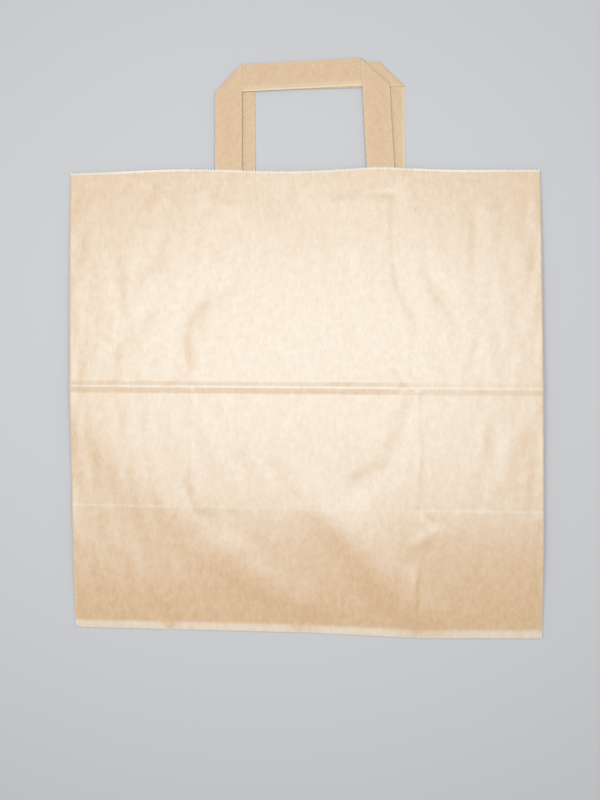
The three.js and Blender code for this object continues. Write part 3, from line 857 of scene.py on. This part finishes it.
def tooth_tree():
    tree = bpy.data.node_groups.new("pinking", "GeometryNodeTree")
    named = [("Path", "Geometry"), ("Pitch", "Float"), ("Tooth depth", "Float"), ("Paper", "Float")]
    for name, kind in named + [("Finish", "Material")]:
        tree.interface.new_socket(name, in_out="INPUT", socket_type="NodeSocket" + kind)
    tree.interface.new_socket("Teeth", in_out="OUTPUT", socket_type="NodeSocketGeometry")
    given = wired(tree, "NodeGroupInput").outputs

    def part_of(name, by):
        inputs = {0: given[name], 1: by}
        return wired(tree, "ShaderNodeMath", inputs, operation="DIVIDE").outputs[0]

    path = wired(tree, "GeometryNodeMeshToCurve", {"Mesh": given["Path"]}).outputs["Curve"]
    steps = {"Curve": path, "Length": given["Pitch"]}
    walk = wired(tree, "GeometryNodeCurveToPoints", steps, mode="LENGTH").outputs
    form = {"Vertices": sides, "Radius": 1, "Depth": given["Paper"]}
    prism = wired(tree, "GeometryNodeMeshCylinder", form).outputs["Mesh"]
    quarter_turn = {"Geometry": prism, "Rotation": (0, 0, math.pi / 2)}
    upright = wired(tree, "GeometryNodeTransform", quarter_turn).outputs["Geometry"]
    across, tall = part_of("Pitch", prism_width), part_of("Tooth depth", prism_height)
    size = wired(tree, "ShaderNodeCombineXYZ", {"X": across, "Y": tall, "Z": 1}).outputs["Vector"]
    rise = wired(tree, "ShaderNodeCombineXYZ", {"Y": part_of("Tooth depth", prism_rise)}).outputs["Vector"]
    sized = {"Geometry": upright, "Scale": size, "Translation": rise}
    tooth = wired(tree, "GeometryNodeTransform", sized).outputs["Geometry"]
    facing = {"axis": "X", "pivot_axis": "Y"}
    along = wired(tree, "FunctionNodeAlignRotationToVector", {"Vector": walk["Tangent"]}, **facing)
    placed = {"Points": walk["Points"], "Instance": tooth, "Rotation": along.outputs["Rotation"]}
    row = wired(tree, "GeometryNodeInstanceOnPoints", placed).outputs["Instances"]
    real = wired(tree, "GeometryNodeRealizeInstances", {"Geometry": row}).outputs["Geometry"]
    finish = {"Geometry": real, "Material": given["Finish"]}
    teeth = wired(tree, "GeometryNodeSetMaterial", finish).outputs["Geometry"]
    wired(tree, "NodeGroupOutput", {"Teeth": teeth})
    return tree


pinking = tooth_tree()
print("pinking tree:", len(pinking.nodes), "nodes")

# %% [markdown]
# Seven edges meet the knife: the two panels, the two halves of each gusset and the lap of the seam. Each
# becomes a line of points at the height of its own layer, drawn in by half a tooth at its ends.

# %% The mouth's edges
first_tooth = half_width - tooth_pitch / 2
gusset_tooth = half_width - half_depth + tooth_pitch  # the last one before a gusset's inner fold
points_along = {"panel": 320, "gusset": 84, "lap": 19}  # about one for each millimetre


def mouth_line(x, height):
    """One layer's edge at the mouth."""
    v = np.full_like(x, mouth_v)
    return out_of_square(grid(x, v, height(x, v)))


whole = np.linspace(-first_tooth, first_tooth, points_along["panel"])
lines = [mouth_line(whole, front_height), mouth_line(whole, back_height)]
for sign in (-1, 1):
    inner = sign * np.linspace(first_tooth, gusset_tooth, points_along["gusset"])
    lines += [mouth_line(inner, under_front), mouth_line(inner, over_back)]
lap_ends = lap_columns[0] + tooth_pitch / 2, lap_columns[-1] - tooth_pitch / 2
lines.append(mouth_line(np.linspace(*lap_ends, points_along["lap"]), under_back))
print("mouth:", len(lines), "edges")

# %% [markdown]
# The lines become one mesh of edges for the tree to walk along. A modifier's input goes by its socket's
# identifier, which isn't its name, so `set_input` looks it up. Cut paper is pale, so the teeth are fully
# worn.

# %% The teeth along the mouth


def set_input(modifier, name, value):
    """Sets a tree's named input by its socket's identifier."""
    sockets = modifier.node_group.interface.items_tree
    identifier = next(s.identifier for s in sockets if s.name == name and s.in_out == "INPUT")
    modifier[identifier] = value


starts = np.cumsum([0] + [len(line) for line in lines])
edges = [(i, i + 1) for a, b in zip(starts, starts[1:]) for i in range(a, b - 1)]
teeth_mesh = bpy.data.meshes.new("mouth_teeth")
teeth_mesh.from_pydata(to_frame(np.concatenate(lines)).tolist(), edges, [])
mouth_teeth = put("mouth_teeth", teeth_mesh)
knife = mouth_teeth.modifiers.new("knife", "NODES")
knife.node_group = pinking
knife_sizes = {"Pitch": tooth_pitch, "Tooth depth": tooth_depth, "Paper": paper}
for name, size in knife_sizes.items():
    set_input(knife, name, size * MM)
set_input(knife, "Finish", kraft)
keep_result(mouth_teeth)
set_wear(mouth_teeth.data, np.ones(len(mouth_teeth.data.vertices)))
print("teeth:", len(mouth_teeth.data.polygons) // (sides + 2))

# %% [markdown]
# ## The handles
# Each handle is one flat tape, made by folding a strip of paper over on itself and pasting it. It runs up
# one leg, is folded over at about 45 degrees into the bar, and folded again into the other leg. A fold turns
# the tape over, so the front handle's legs show its smooth face and its bar shows the back, where the edges
# of the plies lie a few millimetres short of the tape's own edge.
#
# A tape could be a curve with a flat profile, but a curve can't fold over sharply. So it is built from rows
# across the tape. Each row has its two ends, and the rows lean over towards the fold's angle as they come
# near it, so that the bend itself is a clean half round.

# %% The plan of a handle
tape_thickness = 0.4
leg_tuck = 58.0
handle_lift = 2.2  # the mouth is lifted over the legs, and carries them with it


def unit(angle):
    return np.array([math.cos(math.radians(angle)), math.sin(math.radians(angle))])


def handle_plan(node, bar_tilt, right_leg_tilt, width, tape):
    """The two folds of a handle as their low and high ends, and the ways its legs and bar run."""
    low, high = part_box(node)
    bar, up, down = unit(bar_tilt), unit(90), unit(right_leg_tilt - 90)
    bar_up = np.array([-bar[1], bar[0]])
    folds = [(up + bar) / np.linalg.norm(up + bar), (bar + down) / np.linalg.norm(bar + down)]
    spans = [fold * tape / abs(fold @ bar_up) for fold in folds]
    left_edge = low[0] / MM
    top = (high[1] - bag_low[1]) / MM + handle_lift
    top_run = (width - spans[0][0] - spans[1][0]) / bar[0]
    right_high = np.array([left_edge + spans[0][0] + top_run * bar[0], top])
    left_high = right_high - top_run * bar
    return {
        "bar": bar, "down": down, "tape": tape,
        "left": (left_high - spans[0], left_high), "right": (right_high + spans[1], right_high),
    }


handle_width = 118.0
front_plan = handle_plan("front_handle", bar_tilt=1.7, right_leg_tilt=3.4, width=handle_width, tape=18.3)
back_plan = handle_plan("back_handle", bar_tilt=0.4, right_leg_tilt=0.5, width=handle_width, tape=17.2)
for side in ("left", "right"):
    print(f"front handle's {side} fold, mm:", np.round(front_plan[side], 1).tolist())

# %% [markdown]
# ## The rows of a tape
# A row is two plan points, the function that gives its height, and the way its smooth face looks. Along the
# legs and the bar the face looks up or down. Round a fold it swings from one to the other.

# %% Rows along one handle
row_step = 3.0
bend_steps = 8
droop_length = 50.0  # past the mouth, over which a leg sinks to its lowest


def between_ends(start, end, count):
    """Plan points of count + 1 rows, evenly spaced from one row to another."""
    return [[a + (b - a) * share for a, b in zip(start, end)] for share in np.linspace(0, 1, count + 1)]


def clear_of(corner, way, bend):
    """A fold's two ends, moved along the tape until the bend has room."""
    along = (corner[1] - corner[0]) / np.linalg.norm(corner[1] - corner[0])
    step = way * bend / abs(np.cross(way, along))
    return [corner[0] + step, corner[1] + step]


def leg_rows(corner, way, bend):
    """Plan points of the rows from a leg's foot to its fold."""
    ends = clear_of(corner, way, bend)
    feet = [p + way * ((panel_height - leg_tuck - p[1]) / way[1]) for p in ends]
    return between_ends(feet, ends, int(np.linalg.norm(ends[0] - feet[0]) / row_step))


def bar_rows(plan, bend):
    """Plan points of the rows along the bar, between its two folds."""
    start = clear_of(plan["left"], plan["bar"], bend)
    end = clear_of(plan["right"], -plan["bar"], bend)
    return between_ends(start, end, int(np.linalg.norm(start[1] - end[1]) / row_step))


def between(one, other, share):
    """A height part of the way from one height to another."""
    return lambda place: one(place) + (other(place) - one(place)) * share


def handle_rows(plan, leg_height, bar_height, face_up):
    """Every row of a handle in order: its two plan points, its height and its face's way."""
    up = 1.0 if face_up else -1.0
    lowest = np.array([0.0, panel_height + droop_length])
    bend = (abs(leg_height(lowest) - bar_height(lowest)) + tape_thickness) / 2
    bar, down = plan["bar"], plan["down"]

    def flat_rows(pairs, height, side):
        return [(a, b, height, np.array([0, 0, side])) for a, b in pairs]

    def bend_rows(corner, leg_way, bar_way):
        inward = (leg_way + bar_way) / np.linalg.norm(leg_way + bar_way)
        made = []
        for angle in np.linspace(0, math.pi, bend_steps + 1)[1:-1]:
            back = inward * bend * (1 - math.sin(angle))
            face = np.append(-inward * math.sin(angle), up * math.cos(angle))
            height = between(leg_height, bar_height, (1 - math.cos(angle)) / 2)
            made.append((corner[0] + back, corner[1] + back, height, face))
        return made

    left_way = np.array([0.0, -1.0])
    made = flat_rows(leg_rows(plan["left"], left_way, bend), leg_height, up)
    made += bend_rows(plan["left"], left_way, bar)
    made += flat_rows(bar_rows(plan, bend), bar_height, -up)
    made += bend_rows(plan["right"], down, -bar)[::-1]
    return made + flat_rows(leg_rows(plan["right"], down, bend)[::-1], leg_height, up)


print("rows every", row_step, "mm")

# %% [markdown]
# ## The section of a tape
# The face is smooth and its two edges are round, and the round edges are painted pale, as wear and as the
# highlight that they catch. On the back, a second and a third ply stop short of the edge that becomes the
# inside of the bar. They leave two low steps, and these are painted as pale lines, for the wear on the
# plies' edges and for their highlights. Each point of the section is a distance across the tape and a height
# above its middle, with the wear and painted highlight that it gets. The plies lie a little askew, so their
# distance from the edge changes along the tape.

# %% The section
front_plies = (1.3, 3.2)  # from the tape's edge to the edges of its plies
back_plies = (0.5, 1.2)
# The wear numbers at the tape's edges and ply steps also paint the highlights there
round_edge = [(0.08, 0.8, 0.35), (0.5, 1.0, 0.15)]  # in from the edge, share of half the thickness, wear
edge_point = 0.4  # the wear on the edge itself
face_shares = (0.15, 0.3, 0.5, 0.7, 0.85)  # places across the tape
rear_shares = (0.85, 0.7, 0.5, 0.35)
first_ply, second_ply = 0.3, -0.35  # their levels on the back, as shares of half the thickness
tape_angle = 35  # bends sharper than this are shaded as edges


def tape_section(top, plies, skew):
    """Points round the section, from the lower edge over the face to the upper edge and back."""
    half = tape_thickness / 2
    first, second = (step + skew for step in plies)
    face = [(0.0, 0.0, edge_point)] + [(off, half * share, worn_and_lit) for off, share, worn_and_lit in round_edge]
    face += [(top * share, half, 0) for share in face_shares]
    face += [(top - off, half * share, worn_and_lit) for off, share, worn_and_lit in reversed(round_edge)]
    face += [(top, 0.0, edge_point)]
    rear = [(top - off, -half * share, worn_and_lit) for off, share, worn_and_lit in round_edge]
    rear += [(top * share, -half, 0) for share in rear_shares]
    low, high = half * second_ply, half * first_ply
    rear += [(second + 0.1, -half, 0.1), (second, low, 0.9), (second - 0.4, low, 0.3)]
    rear += [(first + 0.1, low, 0.3), (first, high, 1.0), (0.2, high, 1.0), (0.06, half * 0.2, 0.7)]
    return np.array(face + rear)


def make_handle(name, plan, leg_height, bar_height, face_up, plies, skew):
    """A handle's tape, with its own UV map along and across it."""
    rows_made = handle_rows(plan, leg_height, bar_height, face_up)
    points, wear, coords = [], [], []
    travelled, last = 0.0, None
    for k, (a, b, height, face) in enumerate(rows_made):
        section = tape_section(plan["tape"], plies, skew * (k / len(rows_made) - 0.5))
        across = section[:, :1] / plan["tape"]
        middle = (a + b) / 2
        travelled += 0 if last is None else np.linalg.norm(middle - last)
        last = middle
        places = a + (b - a) * across
        points.append(np.column_stack([places, height(places)]) + section[:, 1:2] * face)
        wear.append(section[:, 2])
        coords.append(np.stack([section[:, 0] * MM, np.full(len(section), travelled * MM)], axis=-1))
    part = Sheet()
    ids = part.add(np.stack(points), np.stack(wear))
    part.bridge(ids, ids[:, :1])
    part.faces += [ids[0].tolist(), ids[-1].tolist()]
    thing = make_mesh(name, part.points[0], part.faces, part.wear[0])
    flat = np.concatenate(coords)
    layer = thing.data.uv_layers.new(name="tape")
    for loop in thing.data.loops:
        layer.data[loop.index].uv = flat[loop.vertex_index]
    tidy_normals(thing)
    shade_smooth(thing, tape_angle)
    thing.data.materials.append(tape_kraft)
    return thing


print("section points:", len(tape_section(front_plan["tape"], front_plies, 0.0)))

# %% [markdown]
# ## Laying the handles
# Inside the bag a leg follows its own panel. Outside it droops a little towards the table, and the bar
# lies on the legs' inner side. The front handle's bar rests on the back handle's.

# %% The two handles
glue_gap = 0.2
tape_gap = paper / 2 + tape_thickness / 2 + glue_gap
bar_room = 0.15  # between a leg and the bar that lies on it
bar_step = tape_thickness + bar_room
bar_lift = 0.12  # the front bar rises this much beside its left fold, within that room
lift_span = (-29, -33)
front_droop, back_droop = 0.5, 0.35


def leg_level(panel, offset, droop):
    """The height of a leg at plan points inside the bag and outside it."""

    def height(place):
        x, v = place[..., 0], place[..., 1]
        outside = np.clip((v - panel_height) / droop_length, 0, 1)
        return panel(x, np.minimum(v, panel_height)) + offset - droop * (1 - (1 - outside) ** 2)

    return height


front_inside, back_inside = where_it_lies(front_height), where_it_lies(back_height)
front_leg = leg_level(front_inside, -tape_gap, front_droop)
back_leg = leg_level(back_inside, tape_gap, back_droop)
front_outside = front_levels["mouth"] - tape_gap - front_droop
back_outside = back_levels["mouth"] + tape_gap - back_droop


def front_bar(place):
    return front_outside - bar_step + bar_lift * ease(*lift_span, place[..., 0])


def back_bar(place):
    return back_outside + bar_step + 0 * place[..., 0]


front_handle = make_handle(
    "front_handle_tape", front_plan, front_leg, front_bar, face_up=True, plies=front_plies, skew=1.6
)
back_handle = make_handle(
    "back_handle_tape", back_plan, back_leg, back_bar, face_up=False, plies=back_plies, skew=0.4
)
print("tape triangles:", sum(len(p.vertices) - 2 for p in front_handle.data.polygons))

# %% [markdown]
# ## The patches
# A piece of the same paper is glued over each handle's legs. It can only be seen by looking into the mouth,
# so a grid that follows the panel is enough, with the paper's thickness added.

# %% The two patches
patch_columns, patch_rows = 85, 30
patch_gap = tape_gap + tape_thickness / 2 + glue_gap + paper / 2


def patch_places(node):
    """The plan points of a patch, from the box of its solid."""
    low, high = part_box(node)
    columns = np.linspace(low[0], high[0], patch_columns) / MM
    heights = (np.linspace(low[1], high[1], patch_rows) - bag_low[1]) / MM
    return np.meshgrid(columns, heights)


def make_patch(name, node, panel, offset):
    x, v = patch_places(node)
    part = Sheet()
    part.bridge(part.add(grid(x, v, panel(x, v) + offset)))
    thing = make_paper(name, part.points[0], part.faces, part.wear[0])
    thing.data.materials.append(patch_kraft)
    return thing


front_patch = make_patch("front_patch_paper", "front_handle_patch", front_inside, -patch_gap)
back_patch = make_patch("back_patch_paper", "back_handle_patch", back_inside, patch_gap)
patch_x, patch_v = patch_places("front_handle_patch")
patch_room = front_inside(patch_x, patch_v) - back_inside(patch_x, patch_v) - 2 * patch_gap - paper
print(f"room between the patches: {patch_room.min():.2f} mm or more")

# %% [markdown]
# ## Joining the frame
# Nothing on the bag moves, so every piece rides on its one body. Each new piece stands for the solid that it
# dresses, and that solid is hidden.

# %% Pieces on the frame
standing_for = [
    (bag_paper, "bag_body", "kraft_paper"),
    (front_handle, "front_handle", "handle_tape"),
    (back_handle, "back_handle", "handle_tape"),
    (front_patch, "front_handle_patch", "patch_paper"),
    (back_patch, "back_handle_patch", "patch_paper"),
]
for piece, node, slot in standing_for:
    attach(piece, "root")
    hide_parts(node)
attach(mouth_teeth, "root")
print("pieces:", len(standing_for) + 1)

# %% [markdown]
# The bag's paper and the two patches are sheets. The bag's blank goes once round the tube, with some paper
# over for the seam, and reaches from the mouth to the end of a bottom flap. Below, only the box of each
# patch's solid is read.

# %% The patches' boxes
patches = [(front_patch, "front_handle_patch", front_handle), (back_patch, "back_handle_patch", back_handle)]
for patch, node, tape in patches:
    low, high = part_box(node)

# %% [markdown]
# ## Floor, light and camera
# A plain pale floor takes the bag's small shadow. Seen from low down its far edge would show, so it could be
# bent up into a backdrop. Painting it paler far off is simpler, and it then meets the sky without an edge.

# %% The floor
floor_size = 6.0
floor_drop = 0.0001
corner = floor_size / 2
near_tone, far_tone = (0.58, 0.59, 0.61, 1), (0.98, 0.98, 0.98, 1)
paler_from, palest_from = 0.5, 1.6
floor_mesh = bpy.data.meshes.new("floor")
square = [(x * corner, y * corner, -floor_drop) for x, y in ((-1, -1), (1, -1), (1, 1), (-1, 1))]
floor_mesh.from_pydata(square, [], [(0, 1, 2, 3)])
floor = put("floor", floor_mesh)
floor_paint, floor_tree, floor_shader = new_material("floor_paint")
floor_place = wired(floor_tree, "ShaderNodeTexCoord").outputs["Object"]
from_middle = wired(floor_tree, "ShaderNodeVectorMath", {0: floor_place}, operation="LENGTH")
far_span = {"Value": from_middle.outputs["Value"], "From Min": paler_from, "From Max": palest_from}
far_off = wired(floor_tree, "ShaderNodeMapRange", far_span).outputs["Result"]
floor_mix = {"Factor": far_off, MIX_A: near_tone, MIX_B: far_tone}
floor_tone = wired(floor_tree, "ShaderNodeMix", floor_mix, data_type="RGBA").outputs[MIX_RESULT]
feed(floor_tree, floor_shader, {"Base Color": floor_tone, "Roughness": 0.9})
floor_mesh.materials.append(floor_paint)
print("floor:", floor_size, "m")

# %% [markdown]
# One soft lamp hangs over the upper half of the bag, not far from the camera. Its reflection gives the paper
# its sheen near the middle, and the light falls off towards the corners. A dim even sky fills the shadows. A
# second lamp could do that too, but it would cast shadows of its own.

# %% The light
lamp_data = bpy.data.lights.new("lamp", "AREA")
lamp_data.shape = "RECTANGLE"
lamp_data.size, lamp_data.size_y = 0.82, 0.58
lamp_data.energy = 4.5
lamp = put("lamp", lamp_data)
lamp.location = (-0.04, 0.035, 0.70)
world = bpy.data.worlds.new("sky")
world.use_nodes = True
sky = world.node_tree.nodes["Background"]
feed(world.node_tree, sky, {"Color": (1, 1, 1, 1), "Strength": 0.4})
bpy.context.scene.world = world
bpy.context.scene.view_settings.view_transform = "Standard"
print("lamp:", lamp_data.energy, "W")

# %% [markdown]
# The camera looks almost straight down. Its lens follows from a focal length in pixels, because the sensor's
# width stands for the longer side of the picture.

# %% The camera
focal_pixels = 830
image_height = 800
camera_place = (33.3, -20.7, 566.2)  # in millimetres
camera_tilt = (-1.32, 3.58, 0.06)  # in degrees
camera_data = bpy.data.cameras.new("camera")
camera_data.sensor_width = 36
camera_data.lens = camera_data.sensor_width * focal_pixels / image_height
camera = put("camera", camera_data)
camera.location = Vector(camera_place) * MM
camera.rotation_euler = Euler([math.radians(angle) for angle in camera_tilt])
bpy.context.scene.camera = camera
print(f"lens: {camera_data.lens:.1f} mm")
